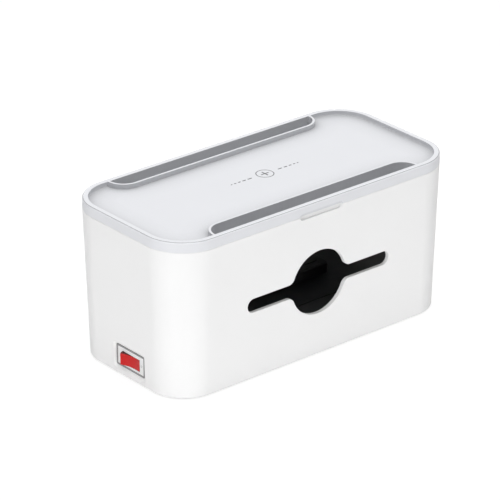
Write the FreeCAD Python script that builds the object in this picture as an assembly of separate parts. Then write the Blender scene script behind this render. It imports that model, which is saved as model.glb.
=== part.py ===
import FreeCAD, Part
import math
import os

# Cable management box with a lift-off lid.
# Lengths are in millimetres and angles in degrees.
# X runs along the box and Z is up from the surface that the feet stand on.
# The long wall that is seen looks to -Y and the switch is on the -X end.

# Case: the body and the lid share one plan outline
box_length = 280.0
box_width = 135.0
case_height = 130.0
corner_radius = 34.0
body_draft_deg = 1.8
body_wall = 3.2
body_floor = 3.0
base_edge_radius = 1.2
parting_chamfer = 0.3

# Feet
foot_projection = 0.8
foot_seat_depth = 1.0
foot_radius = 6.0
foot_seat_play = 0.15
foot_inset = 26.0
foot_chamfer = 0.4

# Cable opening in both long walls: a round hole for plugs with a slot each side for leads
opening_radius = 26.8
opening_slot_length = 141.4
opening_slot_height = 11.8
opening_junction_radius = 6.0
opening_height = 61.9

# Finger groove across the parting line of both long walls
groove_length = 42.0
groove_height = 5.6
groove_depth = 2.0

# Lid
lid_band_height = 8.5
lid_edge_radius = 1.1
lid_skin = 2.4
rim_width = 4.5
tray_depth = 3.8
tray_foot_radius = 1.6
skirt_play = 0.5
skirt_wall = 1.7
skirt_depth = 5.0
skirt_lead_chamfer = 0.6

# Device pockets in the lid, one along each long side
pocket_gap = 13.6
pocket_span = 199.2
pocket_depth = 16.0
pocket_wall = 1.8
pocket_floor = 2.0
pocket_outer_draft = 0.6
pocket_inner_draft = 0.3
pocket_setback = 0.2

# Socket deck: the false floor over the electrical bay, with a raised bank for the outlets
deck_height = 34.0
deck_thickness = 2.5
deck_play = 0.4
deck_edge_radius = 0.8
deck_boss_radius = 3.6
deck_boss_inset = 15.0
deck_boss_spread = 60.0
deck_rib_count = 4
deck_rib_thickness = 1.8
deck_rib_reach = 4.5
deck_rib_pitch = 36.0
deck_groove_across = -44.0
deck_groove_width = 1.0
deck_groove_depth = 0.8
deck_groove_length = 210.0
bank_rise = 8.6
bank_front = -12.0
bank_width = 50.0
bank_radius = 4.0
bank_edge_radius = 1.4
bank_margin = 4.0
bank_board_gap = 10.0

# Screws: pan heads, the deck's and the charger cover's alike
screw_radius = 1.5
screw_play = 0.1
screw_hole_play = 0.3
screw_head_radius = 2.9
screw_head_height = 1.8
screw_head_round = 0.9
screw_length = 9.0
screw_point = 1.0
screw_point_radius = 0.75
screw_drive_width = 0.7
screw_drive_depth = 0.9
screw_drive_span = 3.4

# Outlets: flush inserts in the bank, two flat slots and a round earth hole each
outlet_pitch = 34.0
outlet_length = 28.0
outlet_width = 36.0
outlet_radius = 5.0
outlet_proud = 0.4
outlet_depth = 14.0
outlet_flange = 1.6
outlet_step = 1.2
outlet_fit_play = 0.15
slot_spacing = 12.7
slot_length = 8.0
slot_width = 2.2
slot_offset = 4.0
earth_hole_radius = 2.7
earth_hole_offset = 7.9

# Busbars and contacts under the outlets
bar_width = 5.0
earth_bar_width = 6.0
bar_thickness = 0.8
bar_overhang = 2.0
bar_switch_gap = 4.2
leaf_thickness = 0.6
leaf_width = 6.0
leaf_gap = 1.8
leaf_height = 12.0
leaf_clearance = 0.5
earth_leaf_gap = 4.6
bar_rest_thickness = 3.0
bar_rest_margin = 3.0

# USB outlet at the end of the row
usb_plate_length = 20.0
usb_plate_width = 40.0
usb_plate_thickness = 1.5
usb_plate_radius = 3.0
usb_plate_chamfer = 0.5
usb_deck_edge = 12.0
usb_across = 13.0
usb_shell_play = 0.2
usb_port_pitch = 12.0
usb_a_length = 13.1
usb_a_width = 5.8
usb_c_length = 8.9
usb_c_width = 3.2
usb_shell_height = 14.0
usb_shell_wall = 0.35
usb_shell_floor = 2.0
usb_a_tongue_width = 1.9
usb_a_tongue_share = 0.84
usb_c_tongue_width = 0.7
usb_c_tongue_share = 0.72
usb_tongue_drop = 1.2
usb_board_length = 46.0
usb_board_reach = 2.0
usb_coil_inset = 1.0
usb_board_width = 40.0
usb_board_thickness = 1.6
usb_post_radius = 2.4
usb_post_inset = 3.0
usb_coil_side = 12.0
usb_coil_height = 9.0
usb_coil_flange = 1.4
usb_coil_waist = 1.6

# Rocker switch in the -X end wall
switch_across = -5.1
switch_height = 15.1
switch_recess_length = 38.4
switch_recess_height = 23.2
switch_recess_depth = 2.0
switch_recess_radius = 2.5
switch_pad_thickness = 2.4
switch_pad_margin = 2.0
bezel_length = 34.1
bezel_height = 17.3
bezel_width = 1.3
bezel_thickness = 0.7
bezel_radius = 1.2
bezel_lip = 0.1
plate_play = 0.1
plate_proud = 0.3
plate_thickness = 1.3
housing_play = 0.5
housing_depth = 16.0
housing_back = 2.0
snap_reach = 0.9
snap_length = 3.0
snap_height = 5.0
blade_width = 6.3
blade_thickness = 0.8
blade_length = 8.0
blade_hole_radius = 0.9
blade_chamfer = 1.0
blade_pitch = 9.5
blade_count = 3

# Rocker: a two-way paddle on two trunnions
rocker_length = 19.0
rocker_height = 9.5
rocker_drop = 0.6
rocker_swing_deg = 21.2
rocker_rise = 3.5
rocker_edge_reach = 5.0
rocker_dish = 1.6
rocker_keel = 3.0
rocker_shoulder = 1.0
rocker_keel_share = 0.3
rocker_side_play = 0.3
rocker_end_play = 0.3
trunnion_radius = 1.2
trunnion_reach = 0.8
trunnion_play = 0.05

# Lead gland in the +X end wall
gland_across = -20.0
gland_height = 16.0
gland_neck_radius = 6.0
gland_flange_radius = 9.0
gland_flange = 1.6
gland_inner_radius = 7.4
gland_inner_flange = 1.6
gland_bore_radius = 4.0
gland_play = 0.1
gland_round = 0.6

# Wireless charger under the lid's tray
cover_length = 140.0
cover_width = 68.0
cover_height = 9.0
cover_wall = 1.8
cover_radius = 10.0
cover_edge_radius = 1.0
cover_boss_radius = 3.4
cover_boss_inset = 7.5
coil_outer_radius = 23.0
coil_inner_radius = 10.0
coil_thickness = 1.4
ferrite_radius = 25.0
ferrite_thickness = 1.0
ferrite_seat_radius = 22.0
ferrite_seat_wall = 1.6
charger_board_length = 33.0
charger_board_width = 40.0
charger_board_thickness = 1.6
charger_board_lift = 2.0
charger_board_edge = 4.2
charger_post_radius = 1.8
charger_post_inset = 2.6
charger_port_length = 8.9
charger_port_height = 3.0
charger_port_depth = 7.4
charger_port_play = 0.2
chip_side = 7.0
chip_height = 1.2
chip_row_share = 0.25

# Boolean work
overrun = 1.0
edge_tolerance = 0.01

# Worked out from the sizes above
half_length = box_length / 2
half_width = box_width / 2
draft_slope = math.tan(math.radians(body_draft_deg))
case_bottom = foot_projection
floor_top = case_bottom + body_floor
rim_z = case_bottom + case_height
parting_z = rim_z - lid_band_height
tray_z = rim_z - tray_depth
tray_underside = tray_z - lid_skin
deck_top = case_bottom + deck_height
deck_underside = deck_top - deck_thickness
opening_z = case_bottom + opening_height
diagonal_share = math.sqrt(0.5)


# Shape helpers

def vec(x, y, z):
    return FreeCAD.Vector(x, y, z)


def block(x_low, x_high, y_low, y_high, z_low, z_high):
    corner = vec(x_low, y_low, z_low)
    return Part.makeBox(x_high - x_low, y_high - y_low, z_high - z_low, corner)


def pillar(radius, x, y, z_low, z_high):
    return Part.makeCylinder(radius, z_high - z_low, vec(x, y, z_low))


def line(start, end):
    return Part.LineSegment(start, end).toShape()


def arc(start, middle, end):
    return Part.Arc(start, middle, end).toShape()


def rounded_outline(half_x, half_y, radius, z, x=0, y=0):
    flat_x = half_x - radius
    flat_y = half_y - radius
    reach = radius * diagonal_share
    right_low = vec(x + half_x, y - flat_y, z)
    right_high = vec(x + half_x, y + flat_y, z)
    top_right = vec(x + flat_x, y + half_y, z)
    top_left = vec(x - flat_x, y + half_y, z)
    left_high = vec(x - half_x, y + flat_y, z)
    left_low = vec(x - half_x, y - flat_y, z)
    low_left = vec(x - flat_x, y - half_y, z)
    low_right = vec(x + flat_x, y - half_y, z)
    edges = [
        line(right_low, right_high),
        arc(right_high, vec(x + flat_x + reach, y + flat_y + reach, z), top_right),
        line(top_right, top_left),
        arc(top_left, vec(x - flat_x - reach, y + flat_y + reach, z), left_high),
        line(left_high, left_low),
        arc(left_low, vec(x - flat_x - reach, y - flat_y - reach, z), low_left),
        line(low_left, low_right),
        arc(low_right, vec(x + flat_x + reach, y - flat_y - reach, z), right_low),
    ]
    return Part.Wire(edges)


def prism(wire, direction):
    return Part.Face(wire).extrude(direction)


def rounded_block(half_x, half_y, radius, z_low, z_high, x=0, y=0):
    wire = rounded_outline(half_x, half_y, radius, z_low, x, y)
    return prism(wire, vec(0, 0, z_high - z_low))


def case_block(inset, z_low, z_high):
    wires = []
    for z in (z_low, z_high):
        total = inset + (parting_z - z) * draft_slope
        wires.append(rounded_outline(half_length - total, half_width - total, corner_radius - total, z))
    return Part.makeLoft(wires, True, True)


def straight_block(inset, z_low, z_high):
    return rounded_block(half_length - inset, half_width - inset, corner_radius - inset, z_low, z_high)


def edges_at_height(shape, z):
    found = []
    for edge in shape.Edges:
        box = edge.BoundBox
        if abs(box.ZMin - z) < edge_tolerance and abs(box.ZMax - z) < edge_tolerance:
            found.append(edge)
    return found


def end_wall_block(half_y, half_z, radius, x_low, x_high, y, z):
    # A rounded block that looks along X, for what sits in the end wall
    flat = rounded_block(half_y, half_z, radius, 0, x_high - x_low)
    flat.rotate(vec(0, 0, 0), vec(1, 1, 1), 120)
    flat.translate(vec(x_low, y, z))
    return flat


def case_inset(z):
    return (parting_z - z) * draft_slope


# Screws

def screw(x, y, seat_z, direction):
    # The head rests on seat_z and the shank runs to the side of direction
    head = Part.makeCylinder(screw_head_radius, screw_head_height, vec(0, 0, 0))
    head = head.makeFillet(screw_head_round, edges_at_height(head, screw_head_height))
    shank_length = screw_length - screw_point
    shank = Part.makeCylinder(screw_radius, shank_length, vec(0, 0, -shank_length))
    point = Part.makeCone(screw_point_radius, screw_radius, screw_point, vec(0, 0, -screw_length))
    body = head.fuse([shank, point]).removeSplitter()
    drive_low = screw_head_height - screw_drive_depth
    drive_high = screw_head_height + overrun
    half_span = screw_drive_span / 2
    half_slot = screw_drive_width / 2
    slot = block(-half_span, half_span, -half_slot, half_slot, drive_low, drive_high)
    cross_slot = block(-half_slot, half_slot, -half_span, half_span, drive_low, drive_high)
    body = body.cut(slot.fuse(cross_slot))
    if direction > 0:
        body.rotate(vec(0, 0, 0), vec(1, 0, 0), 180)
    body.translate(vec(x, y, seat_z))
    return body


# Places that several pieces share

def deck_screw_places():
    inset = body_wall + deck_boss_inset + case_inset(deck_top)
    x = half_length - inset
    y = half_width - inset
    middle_y = half_width - body_wall - case_inset(case_bottom) - deck_boss_radius
    places = []
    for side in (-1, 1):
        for end in (-1, 1):
            places.append((end * x, side * y))
            places.append((end * deck_boss_spread, side * middle_y))
    return places


def deck_half_length():
    return half_length - case_inset(deck_underside) - body_wall - deck_play


def deck_half_width():
    return half_width - case_inset(deck_underside) - body_wall - deck_play


bank_top = deck_top + bank_rise
bank_y = bank_front + bank_width / 2
outlet_top = bank_top + outlet_proud
usb_x = deck_half_length() - usb_deck_edge - usb_plate_length / 2


def outlet_places():
    # The row starts clear of the switch's terminals and ends clear of the USB board
    first = terminal_tip_x() + bar_switch_gap + bar_overhang + leaf_width / 2 + slot_offset
    last = usb_board_left() - bank_board_gap - bank_margin - outlet_length / 2
    count = 1 + int((last - first) / outlet_pitch)
    return [first + index * outlet_pitch for index in reversed(range(count))]


def bank_left():
    return outlet_places()[-1] - outlet_length / 2 - bank_margin


def bank_right():
    return outlet_places()[0] + outlet_length / 2 + bank_margin


def foot_places():
    x = half_length - foot_inset - case_inset(case_bottom)
    y = half_width - foot_inset - case_inset(case_bottom)
    return [(x, y), (-x, y), (-x, -y), (x, -y)]


def cover_screw_places():
    x = cover_length / 2 - cover_boss_inset
    y = cover_width / 2 - cover_boss_inset
    return [(x, y), (-x, y), (-x, -y), (x, -y)]


# Cable opening and finger groove

def opening_cutter():
    half_slot = opening_slot_height / 2
    half_span = opening_slot_length / 2
    joint_z = half_slot + opening_junction_radius
    joint_x = math.sqrt((opening_radius + opening_junction_radius) ** 2 - joint_z ** 2)
    touch = math.atan2(joint_z, joint_x)
    touch_x = opening_radius * math.cos(touch)
    touch_z = opening_radius * math.sin(touch)
    turn = (math.radians(-90) + touch - math.pi) / 2
    turn_x = joint_x + opening_junction_radius * math.cos(turn)
    turn_z = joint_z + opening_junction_radius * math.sin(turn)
    face_y = -half_width - overrun

    def at(x, z):
        return vec(x, face_y, opening_z + z)

    straight = half_span - half_slot
    edges = [
        arc(at(straight, -half_slot), at(half_span, 0), at(straight, half_slot)),
        line(at(straight, half_slot), at(joint_x, half_slot)),
        arc(at(joint_x, half_slot), at(turn_x, turn_z), at(touch_x, touch_z)),
        arc(at(touch_x, touch_z), at(0, opening_radius), at(-touch_x, touch_z)),
        arc(at(-touch_x, touch_z), at(-turn_x, turn_z), at(-joint_x, half_slot)),
        line(at(-joint_x, half_slot), at(-straight, half_slot)),
        arc(at(-straight, half_slot), at(-half_span, 0), at(-straight, -half_slot)),
        line(at(-straight, -half_slot), at(-joint_x, -half_slot)),
        arc(at(-joint_x, -half_slot), at(-turn_x, -turn_z), at(-touch_x, -touch_z)),
        arc(at(-touch_x, -touch_z), at(0, -opening_radius), at(touch_x, -touch_z)),
        arc(at(touch_x, -touch_z), at(turn_x, -turn_z), at(joint_x, -half_slot)),
        line(at(joint_x, -half_slot), at(straight, -half_slot)),
    ]
    return prism(Part.Wire(edges), vec(0, box_width + 2 * overrun, 0))


def groove_cutters():
    half = groove_height / 2
    straight = groove_length / 2 - half
    cutters = []
    for side in (-1, 1):
        face_y = side * (half_width + overrun)

        def at(x, z):
            return vec(x, face_y, parting_z + z)

        edges = [
            line(at(-straight, -half), at(straight, -half)),
            arc(at(straight, -half), at(straight + half, 0), at(straight, half)),
            line(at(straight, half), at(-straight, half)),
            arc(at(-straight, half), at(-straight - half, 0), at(-straight, -half)),
        ]
        cutters.append(prism(Part.Wire(edges), vec(0, -side * (groove_depth + overrun), 0)))
    return cutters


# Rocker switch layout
# The recess floor is upright. Depth is counted from it into the box.

switch_y = switch_across
switch_z = case_bottom + switch_height
rocker_z = switch_z - rocker_drop
end_wall_x = -(half_length - case_inset(switch_z))
recess_x = end_wall_x + switch_recess_depth
pad_x = recess_x + switch_pad_thickness
plate_front_x = recess_x - plate_proud
plate_back_x = plate_front_x + plate_thickness
housing_back_x = plate_back_x + housing_depth
bezel_inner_length = bezel_length - 2 * bezel_width
bezel_inner_height = bezel_height - 2 * bezel_width
window_length = bezel_inner_length + 2 * bezel_lip
window_height = bezel_inner_height + 2 * bezel_lip
plate_length = bezel_inner_length - 2 * plate_play
plate_height = bezel_inner_height - 2 * plate_play
housing_length = plate_length - housing_play
housing_height = plate_height - housing_play
half_swing = math.radians(rocker_swing_deg / 2)
pivot_x = plate_front_x + rocker_edge_reach * math.cos(half_swing) - rocker_rise / 2
rocker_end_radius = math.hypot(rocker_length / 2, rocker_edge_reach)
rocker_cavity_half = rocker_end_radius + rocker_end_play
slot_reach = pivot_x - plate_back_x
plate_slot_half = math.sqrt(rocker_end_radius ** 2 - slot_reach ** 2) + rocker_end_play
rocker_slot_half_height = rocker_height / 2 + rocker_side_play
rocker_dip = rocker_end_radius * math.sin(half_swing) + rocker_shoulder
rocker_keel_half = rocker_length / 2 * rocker_keel_share
rocker_keel_dip = rocker_keel * math.cos(half_swing) + rocker_keel_half * math.sin(half_swing)
cavity_floor_x = pivot_x + max(rocker_dip, rocker_keel_dip) + rocker_end_play


# Body shell

def outer_body():
    body = case_block(0, case_bottom, parting_z)
    body = body.makeFillet(base_edge_radius, edges_at_height(body, case_bottom))
    return body.makeChamfer(parting_chamfer, edges_at_height(body, parting_z))


def deck_ribs():
    # Upright ribs inside the long walls carry the deck between its bosses
    ribs = []
    reach = body_wall + deck_rib_reach + case_inset(floor_top)
    half_rib = deck_rib_thickness / 2
    for index in range(deck_rib_count):
        x = (index - (deck_rib_count - 1) / 2) * deck_rib_pitch
        for side in (-1, 1):
            inner = side * (half_width - reach)
            outer = side * (half_width - body_wall / 2 - case_inset(case_bottom))
            low, high = sorted((inner, outer))
            rib = block(x - half_rib, x + half_rib, low, high, case_bottom + body_floor / 2, deck_underside)
            ribs.append(rib)
    return ribs


def floor_fittings():
    fittings = []
    for x, y in deck_screw_places():
        fittings.append(pillar(deck_boss_radius, x, y, case_bottom + body_floor / 2, deck_underside))
    for x, y in usb_post_places():
        fittings.append(pillar(usb_post_radius, x, y, case_bottom + body_floor / 2, usb_board_z()))
    half_rest = bar_rest_thickness / 2
    rest_reach = slot_spacing / 2 + bar_width / 2 + bar_rest_margin
    for x in bar_rest_places():
        rest = block(x - half_rest, x + half_rest, bank_y - rest_reach, bank_y + rest_reach,
                     case_bottom + body_floor / 2, bar_z())
        fittings.append(rest)
    return fittings


def switch_pad():
    half_y = switch_recess_length / 2 + switch_pad_margin
    half_z = switch_recess_height / 2 + switch_pad_margin
    low = max(switch_z - half_z, case_bottom + body_floor / 2)
    return block(recess_x, pad_x, switch_y - half_y, switch_y + half_y, low, switch_z + half_z)


def switch_cutters():
    recess = end_wall_block(switch_recess_length / 2, switch_recess_height / 2, switch_recess_radius,
                            end_wall_x - switch_recess_depth, recess_x, switch_y, switch_z)
    window = block(recess_x - overrun, pad_x + overrun,
                   switch_y - window_length / 2, switch_y + window_length / 2,
                   switch_z - window_height / 2, switch_z + window_height / 2)
    return [recess, window]


def make_body_shell():
    shell = outer_body()
    cavity = case_block(body_wall, floor_top, parting_z + overrun)
    cavity = cavity.makeFillet(base_edge_radius, edges_at_height(cavity, floor_top))
    shell = shell.cut(cavity)
    additions = deck_ribs() + floor_fittings() + [switch_pad()]
    shell = shell.fuse(additions)
    cutters = [opening_cutter()] + groove_cutters() + switch_cutters()
    for x, y in foot_places():
        seat_top = case_bottom + foot_seat_depth
        cutters.append(pillar(foot_radius + foot_seat_play, x, y, case_bottom - overrun, seat_top))
    for x, y in deck_screw_places():
        hole_bottom = deck_underside - screw_length
        cutters.append(pillar(screw_radius + screw_play, x, y, hole_bottom, deck_underside + overrun))
    cutters.append(gland_hole())
    return shell.cut(cutters).removeSplitter()


# Feet

def make_foot(x, y):
    foot = pillar(foot_radius, x, y, 0, case_bottom + foot_seat_depth)
    return foot.makeChamfer(foot_chamfer, edges_at_height(foot, 0))


# Lead gland, square to the leaning end wall

def place_on_end_wall(shape):
    shape.rotate(vec(0, 0, 0), vec(0, 1, 0), 90 + body_draft_deg)
    z = case_bottom + gland_height
    shape.translate(vec(half_length - case_inset(z), gland_across, z))
    return shape


def gland_hole():
    depth = body_wall + gland_inner_flange
    cutter = Part.makeCylinder(gland_neck_radius + gland_play, depth + gland_flange, vec(0, 0, -depth))
    return place_on_end_wall(cutter)


def make_lead_gland():
    profile = [
        vec(gland_bore_radius, 0, gland_flange),
        vec(gland_flange_radius - gland_round, 0, gland_flange),
        vec(gland_flange_radius, 0, gland_flange - gland_round),
        vec(gland_flange_radius, 0, 0),
        vec(gland_neck_radius, 0, 0),
        vec(gland_neck_radius, 0, -body_wall),
        vec(gland_inner_radius, 0, -body_wall),
        vec(gland_inner_radius - gland_round, 0, -body_wall - gland_inner_flange),
        vec(gland_bore_radius, 0, -body_wall - gland_inner_flange),
    ]
    face = Part.Face(Part.makePolygon(profile + profile[:1]))
    gland = face.revolve(vec(0, 0, 0), vec(0, 0, 1), 360)
    return place_on_end_wall(gland)


# Socket deck

def bank_block(inset, z_low, z_high):
    half_x = (bank_right() - bank_left()) / 2 - inset
    half_y = bank_width / 2 - inset
    x = (bank_right() + bank_left()) / 2
    return rounded_block(half_x, half_y, bank_radius - inset, z_low, z_high, x, bank_y)


def outlet_block(x, inset, z_low, z_high):
    return rounded_block(outlet_length / 2 - inset, outlet_width / 2 - inset, outlet_radius - inset,
                         z_low, z_high, x, bank_y)


def make_socket_deck():
    radius = corner_radius - case_inset(deck_underside) - body_wall - deck_play
    deck = rounded_block(deck_half_length(), deck_half_width(), radius, deck_underside, deck_top)
    deck = deck.makeFillet(deck_edge_radius, edges_at_height(deck, deck_top))
    bank = bank_block(0, deck_underside, bank_top)
    bank = bank.makeFillet(bank_edge_radius, edges_at_height(bank, bank_top))
    hollow = bank_block(deck_thickness, deck_underside - overrun, bank_top - deck_thickness)
    deck = deck.fuse(bank)
    cutters = [hollow]
    for x in outlet_places():
        cutters.append(outlet_block(x, outlet_step - outlet_fit_play, bank_top - deck_thickness - overrun,
                                    bank_top + overrun))
        cutters.append(outlet_block(x, -outlet_fit_play, outlet_top - outlet_flange, bank_top + overrun))
    for x, y in deck_screw_places():
        hole = screw_radius + screw_hole_play
        cutters.append(pillar(hole, x, y, deck_underside - overrun, deck_top + overrun))
    for index, length, width in usb_ports():
        cutters.append(usb_port_block(index, length, width, usb_shell_play,
                                      deck_underside - overrun, deck_top + overrun))
    cutters.append(block(-deck_groove_length / 2, deck_groove_length / 2,
                         deck_groove_across - deck_groove_width / 2,
                         deck_groove_across + deck_groove_width / 2,
                         deck_top - deck_groove_depth, deck_top + overrun))
    return deck.cut(cutters).removeSplitter()


def make_deck_screws():
    return Part.makeCompound([screw(x, y, deck_top, -1) for x, y in deck_screw_places()])


# Outlets

def make_outlet(x):
    bottom = outlet_top - outlet_depth
    flange = outlet_block(x, 0, outlet_top - outlet_flange, outlet_top)
    guide = outlet_block(x, outlet_step, bottom, outlet_top - outlet_flange)
    outlet = flange.fuse(guide)
    cutters = []
    for side in (-1, 1):
        slot_y = bank_y + side * slot_spacing / 2
        slot_x = x - slot_offset
        cutters.append(block(slot_x - slot_length / 2, slot_x + slot_length / 2,
                             slot_y - slot_width / 2, slot_y + slot_width / 2,
                             bottom - overrun, outlet_top + overrun))
    cutters.append(pillar(earth_hole_radius, x + earth_hole_offset, bank_y,
                          bottom - overrun, outlet_top + overrun))
    return outlet.cut(cutters).removeSplitter()


# Busbars

def leaf_top():
    return outlet_top - outlet_depth - leaf_clearance


def bar_z():
    return leaf_top() - leaf_height


def bar_ends(contact_offset):
    places = outlet_places()
    reach = leaf_width / 2 + bar_overhang
    return places[-1] + contact_offset - reach, places[0] + contact_offset + reach


def bar_rest_places():
    places = outlet_places()
    left_end = bar_ends(-slot_offset)[0]
    right_end = bar_ends(earth_hole_offset)[1]
    rests = [left_end + bar_rest_thickness / 2, right_end - bar_rest_thickness / 2]
    for index in range(len(places) - 1):
        rests.append((places[index] + places[index + 1]) / 2)
    return rests


def contact_bar(y, width, contact_offset, gap):
    # A flat strip with a pair of upright leaves under each outlet
    low, high = bar_ends(contact_offset)
    bottom = bar_z()
    bar = block(low, high, y - width / 2, y + width / 2, bottom, bottom + bar_thickness)
    leaves = []
    for x in outlet_places():
        centre = x + contact_offset
        for side in (-1, 1):
            first, last = sorted((y + side * gap / 2, y + side * (gap / 2 + leaf_thickness)))
            leaves.append(block(centre - leaf_width / 2, centre + leaf_width / 2, first, last,
                                bottom, leaf_top()))
    return bar.fuse(leaves).removeSplitter()


def make_line_bar(side):
    return contact_bar(bank_y + side * slot_spacing / 2, bar_width, -slot_offset, leaf_gap)


def make_earth_bar():
    return contact_bar(bank_y, earth_bar_width, earth_hole_offset, earth_leaf_gap)


# USB outlet

def usb_ports():
    return [
        (-1, usb_a_length, usb_a_width),
        (0, usb_c_length, usb_c_width),
        (1, usb_a_length, usb_a_width),
    ]


def usb_board_z():
    top = deck_top + usb_plate_thickness - usb_shell_height
    return top - usb_board_thickness


def usb_board_left():
    return usb_x + usb_plate_length / 2 + usb_board_reach - usb_board_length


def usb_post_places():
    low_x = usb_board_left() + usb_post_inset
    high_x = usb_board_left() + usb_board_length - usb_post_inset
    reach = usb_board_width / 2 - usb_post_inset
    places = []
    for x in (low_x, high_x):
        for side in (-1, 1):
            places.append((x, usb_across + side * reach))
    return places


def usb_port_block(index, length, width, play, z_low, z_high):
    y = usb_across + index * usb_port_pitch
    half_x = length / 2 + play
    half_y = width / 2 + play
    return block(usb_x - half_x, usb_x + half_x, y - half_y, y + half_y, z_low, z_high)


def make_usb_plate():
    top = deck_top + usb_plate_thickness
    plate = rounded_block(usb_plate_length / 2, usb_plate_width / 2, usb_plate_radius,
                          deck_top, top, usb_x, usb_across)
    plate = plate.makeChamfer(usb_plate_chamfer, edges_at_height(plate, top))
    cutters = []
    for index, length, width in usb_ports():
        cutters.append(usb_port_block(index, length, width, usb_shell_play,
                                      deck_top - overrun, top + overrun))
    return plate.cut(cutters)


def make_usb_port(index, length, width, tongue_width, tongue_share):
    board_top = usb_board_z() + usb_board_thickness
    top = board_top + usb_shell_height
    shell = usb_port_block(index, length, width, 0, board_top, top)
    mouth = usb_port_block(index, length, width, -usb_shell_wall, board_top + usb_shell_floor, top + overrun)
    half_tongue = length * tongue_share / 2
    y = usb_across + index * usb_port_pitch
    tongue = block(usb_x - half_tongue, usb_x + half_tongue, y - tongue_width / 2, y + tongue_width / 2,
                   board_top + usb_shell_floor / 2, top - usb_tongue_drop)
    return shell.cut(mouth).fuse(tongue).removeSplitter()


def make_usb_board():
    bottom = usb_board_z()
    left = usb_board_left()
    reach = usb_board_width / 2
    return block(left, left + usb_board_length, usb_across - reach, usb_across + reach,
                 bottom, bottom + usb_board_thickness)


def make_usb_transformer():
    bottom = usb_board_z() + usb_board_thickness
    top = bottom + usb_coil_height
    half = usb_coil_side / 2
    x = usb_board_left() + usb_coil_inset + half
    y = usb_across
    waist = half - usb_coil_waist
    lower = block(x - half, x + half, y - half, y + half, bottom, bottom + usb_coil_flange)
    upper = block(x - half, x + half, y - half, y + half, top - usb_coil_flange, top)
    core = pillar(waist, x, y, bottom + usb_coil_flange / 2, top - usb_coil_flange / 2)
    return lower.fuse([upper, core])


# Rocker switch

def make_switch_bezel():
    outer = end_wall_block(bezel_length / 2, bezel_height / 2, bezel_radius,
                           recess_x - bezel_thickness, recess_x, switch_y, switch_z)
    inner = block(recess_x - bezel_thickness - overrun, recess_x + overrun,
                  switch_y - bezel_inner_length / 2, switch_y + bezel_inner_length / 2,
                  switch_z - bezel_inner_height / 2, switch_z + bezel_inner_height / 2)
    return outer.cut(inner)


def make_switch_plate():
    plate = block(plate_front_x, plate_back_x,
                  switch_y - plate_length / 2, switch_y + plate_length / 2,
                  switch_z - plate_height / 2, switch_z + plate_height / 2)
    slot = block(plate_front_x - overrun, plate_back_x + overrun,
                 switch_y - plate_slot_half, switch_y + plate_slot_half,
                 rocker_z - rocker_slot_half_height, rocker_z + rocker_slot_half_height)
    return plate.cut(slot)


def terminal_tip_x():
    return housing_back_x + blade_length


def blade_places():
    return [switch_y + (index - (blade_count - 1) / 2) * blade_pitch for index in range(blade_count)]


def make_switch_housing():
    housing = block(plate_back_x, housing_back_x,
                    switch_y - housing_length / 2, switch_y + housing_length / 2,
                    switch_z - housing_height / 2, switch_z + housing_height / 2)
    snaps = []
    for side in (-1, 1):
        root_y = switch_y + side * housing_length / 2
        tip_y = switch_y + side * (window_length / 2 + snap_reach)
        outline = [
            vec(pad_x, root_y, switch_z - snap_height / 2),
            vec(pad_x, tip_y, switch_z - snap_height / 2),
            vec(pad_x + snap_length, root_y, switch_z - snap_height / 2),
        ]
        wedge = Part.Face(Part.makePolygon(outline + outline[:1])).extrude(vec(0, 0, snap_height))
        snaps.append(wedge)
    housing = housing.fuse(snaps)
    cavity = block(plate_back_x - overrun, cavity_floor_x,
                   switch_y - rocker_cavity_half, switch_y + rocker_cavity_half,
                   rocker_z - rocker_slot_half_height, rocker_z + rocker_slot_half_height)
    bearing_half = rocker_slot_half_height + trunnion_reach + trunnion_play
    bearing = pillar(trunnion_radius + trunnion_play, pivot_x, switch_y,
                     rocker_z - bearing_half, rocker_z + bearing_half)
    cutters = [cavity, bearing]
    for y in blade_places():
        cutters.append(block(housing_back_x - housing_back, housing_back_x + overrun,
                             y - blade_thickness / 2, y + blade_thickness / 2,
                             switch_z - blade_width / 2, switch_z + blade_width / 2))
    return housing.cut(cutters).removeSplitter()


def make_switch_terminals():
    blades = []
    for y in blade_places():
        tip = terminal_tip_x()
        blade = block(housing_back_x - housing_back, tip,
                      y - blade_thickness / 2, y + blade_thickness / 2,
                      switch_z - blade_width / 2, switch_z + blade_width / 2)
        corners = [edge for edge in blade.Edges
                   if abs(edge.BoundBox.XMin - tip) < edge_tolerance
                   and edge.BoundBox.YLength > blade_thickness / 2]
        blade = blade.makeChamfer(blade_chamfer, corners)
        hole = Part.makeCylinder(blade_hole_radius, blade_thickness + 2 * overrun,
                                 vec(tip - blade_length / 2, y - blade_thickness / 2 - overrun, switch_z),
                                 vec(0, 1, 0))
        blades.append(blade.cut(hole))
    return Part.makeCompound(blades)


# Rocker
# Its profile is drawn level, with u from the pivot out of the box and v along Y.

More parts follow.
